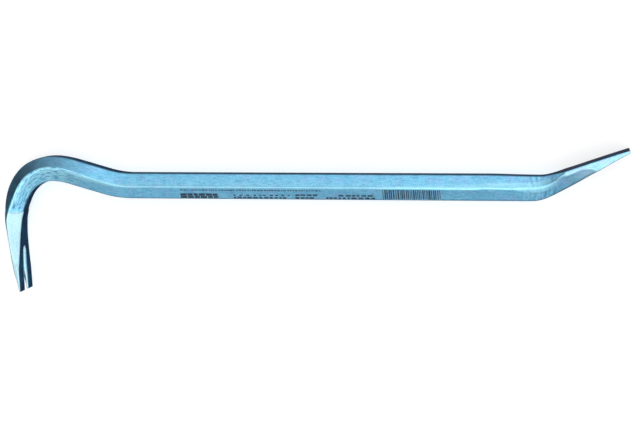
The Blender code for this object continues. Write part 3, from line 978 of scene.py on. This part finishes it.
def steel_colour(tree, patterns, wear_and_highlight, worn_and_highlight_tone):
    """Plain steel under its marks, then its wear and painted highlight, then its painted shade and the die
    line's scale.
    """
    painted_shade = attribute(tree, "painted_shade")
    colour = marked_tone(tree, patterns, plain_tone(tree, patterns), painted_shade)
    worn_and_highlight_tone = blend(tree, flat_ends(tree, patterns.along), STEEL_RUBBED_HIGHLIGHT, worn_and_highlight_tone)
    colour = blend(tree, wear_and_highlight, colour, worn_and_highlight_tone)
    shade_and_scale_tone = blend(tree, remap(tree, patterns.clouds, *SHADE_AND_SCALE_CLOUD_SPAN), SHADE_AND_SCALE_DARK, SHADE_AND_SCALE_BLUE)
    return blend(tree, shade_and_scale_share(tree, patterns, painted_shade), colour, shade_and_scale_tone)


def steel_roughness(tree, patterns, wear_and_highlight):
    """Roughness in streaks, with more of it in rough places and less where wear and painted highlight lie."""
    roughness = remap(tree, patterns.streaks, *NOISE_SPAN, *STEEL_ROUGHNESS)
    roughness = maths(tree, "ADD", roughness, fade(tree, patterns.rough, 0.0, ROUGH_PLACE_ROUGHNESS))
    return maths(tree, "SUBTRACT", roughness, fade(tree, wear_and_highlight, 0.0, WEAR_POLISH))


def steel_height(tree, patterns):
    """Height of grain, flecks and streaks, the first two of which stand out more in rough places."""
    grain = times(tree, patterns.grain, fade(tree, patterns.rough, *GRAIN_BUMP))
    flecks = times(tree, patterns.flecks, fade(tree, patterns.rough, *FLECK_BUMP))
    return maths(tree, "ADD", maths(tree, "ADD", grain, flecks), patterns.streaks)


def steel_material(name, worn_and_highlight_tone, worn_and_highlit=None):
    """Forged steel. Its share of wear and painted highlight comes from the mesh, or is the same all over."""
    material, tree, shader = new_material(name)
    patterns = steel_patterns(tree)
    wear_and_highlight = wear_and_highlight_share(tree, patterns, worn_and_highlit or attribute(tree, "wear_and_highlight"))
    tree.links.new(steel_colour(tree, patterns, wear_and_highlight, worn_and_highlight_tone), shader.inputs["Base Color"])
    tree.links.new(steel_roughness(tree, patterns, wear_and_highlight), shader.inputs["Roughness"])
    add_bump(tree, shader, steel_height(tree, patterns), STEEL_BUMP)
    shader.inputs["Metallic"].default_value = 1.0
    shader.inputs["Specular Tint"].default_value = STEEL_GRAZING
    return material


def film_material():
    """Clear film with faint creases and a thin haze of adhesive."""
    material, tree, shader = new_material("clear_film")
    where = object_place(tree)
    creases = stretched_speckle(tree, where, (FILM_CREASE_LENGTH, FILM_CREASE_WIDTH, FILM_CREASE_WIDTH))
    haze = speckle(tree, where, FILM_HAZE_WAVE, FINE_DETAIL)
    tree.links.new(blend(tree, haze, FILM_TONE, FILM_TONE_PALE), shader.inputs["Base Color"])
    tree.links.new(remap(tree, haze, *NOISE_SPAN, *FILM_ALPHA), shader.inputs["Alpha"])
    tree.links.new(remap(tree, haze, *NOISE_SPAN, *FILM_ROUGHNESS), shader.inputs["Roughness"])
    add_bump(tree, shader, creases, FILM_BUMP)
    return material


def ink_material():
    """Dark ink, worn thin in small spots."""
    material, tree, shader = new_material("film_ink")
    spots = speckle(tree, object_place(tree), INK_SPOT_WAVE, FINE_DETAIL)
    colour = blend(tree, remap(tree, spots, *INK_SPOT_SPAN), INK_DARK, INK_WORN)
    tree.links.new(colour, shader.inputs["Base Color"])
    tree.links.new(remap(tree, spots, *NOISE_SPAN, *INK_ROUGHNESS), shader.inputs["Roughness"])
    add_bump(tree, shader, spots, INK_BUMP)
    return material


def floor_material():
    """Pale matt floor that camera and metal see as white, and that still takes the object's shadow."""
    material, tree, shader = new_material("studio_floor")
    rays = add_node(tree, "ShaderNodeLightPath").outputs
    seen = maths(tree, "MAXIMUM", rays["Is Camera Ray"], rays["Is Glossy Ray"])
    seen = maths(tree, "MAXIMUM", seen, rays["Is Transmission Ray"])
    shader.inputs["Base Color"].default_value = FLOOR_TONE
    shader.inputs["Roughness"].default_value = 1.0
    shader.inputs["Specular IOR Level"].default_value = 0.0
    shader.inputs["Emission Color"].default_value = WHITE
    tree.links.new(times(tree, seen, FLOOR_GLOW), shader.inputs["Emission Strength"])
    return material


def make_floor():
    """One wide flat face just under the bar."""
    shape = bmesh.new()
    corners = ((-1, -1), (1, -1), (1, 1), (-1, 1))
    shape.faces.new([shape.verts.new((x * FLOOR_REACH, y * FLOOR_REACH, -FLOOR_DROP)) for x, y in corners])
    mesh = finished_mesh("studio_floor", shape)
    mesh.materials.append(floor_material())
    add_object("studio_floor", mesh)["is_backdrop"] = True


def make_world():
    """Dim even surroundings with a few wide soft glows in them."""
    world = bpy.data.worlds.new("studio")
    world.use_nodes = True
    tree = world.node_tree
    toward = add_node(tree, "ShaderNodeTexCoord").outputs["Generated"]
    level = WORLD_LEVEL
    for glow in GLOWS:
        inputs = {0: toward, 1: Vector(glow.direction).normalized()}
        facing = add_node(tree, "ShaderNodeVectorMath", inputs, operation="DOT_PRODUCT").outputs["Value"]
        lobe = maths(tree, "POWER", maths(tree, "MAXIMUM", facing, 0.0), glow.sharpness)
        level = maths(tree, "ADD", times(tree, lobe, glow.strength), level)
    background = tree.nodes["Background"]
    background.inputs["Color"].default_value = WHITE
    tree.links.new(level, background.inputs["Strength"])
    bpy.context.scene.world = world


def make_key_light():
    """Sun light from above, as soft as a wide lamp's."""
    lamp = bpy.data.lights.new("key_light", "SUN")
    lamp.energy = KEY_STRENGTH
    lamp.angle = math.radians(KEY_WIDTH)
    item = bpy.data.objects.new("key_light", lamp)
    item.rotation_euler = Vector(KEY_DIRECTION).to_track_quat("Z", "Y").to_euler()
    bpy.context.scene.collection.objects.link(item)


def make_camera():
    """The photograph's camera."""
    lens = bpy.data.cameras.new("photo_camera")
    lens.lens = CAMERA_LENS
    lens.sensor_width = SENSOR_WIDTH
    lens.sensor_fit = "HORIZONTAL"
    camera = bpy.data.objects.new("photo_camera", lens)
    turn = Matrix.Rotation(math.radians(CAMERA_YAW), 4, "Y")
    turn = turn @ Matrix.Rotation(math.radians(CAMERA_PITCH), 4, "X")
    turn = turn @ Matrix.Rotation(math.radians(CAMERA_ROLL), 4, "Z")
    camera.matrix_world = Matrix.Translation(CAMERA_PLACE) @ turn
    bpy.context.scene.collection.objects.link(camera)
    bpy.context.scene.camera = camera


def main(cad_box):
    places, rings, arounds, finishes = bar_rings()
    shift = bar_shift(rings)
    make_bar(places, rings, arounds, finishes, shift)
    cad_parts["label_film"].material_slots[0].material = film_material()
    make_print(shift)
    make_floor()
    make_world()
    make_key_light()
    make_camera()
    bpy.context.scene.view_settings.view_transform = "Standard"


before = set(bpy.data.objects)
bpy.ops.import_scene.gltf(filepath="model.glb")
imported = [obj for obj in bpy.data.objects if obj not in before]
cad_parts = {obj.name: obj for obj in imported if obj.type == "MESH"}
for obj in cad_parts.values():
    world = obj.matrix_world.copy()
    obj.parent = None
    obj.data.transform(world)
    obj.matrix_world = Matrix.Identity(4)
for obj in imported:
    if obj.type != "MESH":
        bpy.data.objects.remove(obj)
main(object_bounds())
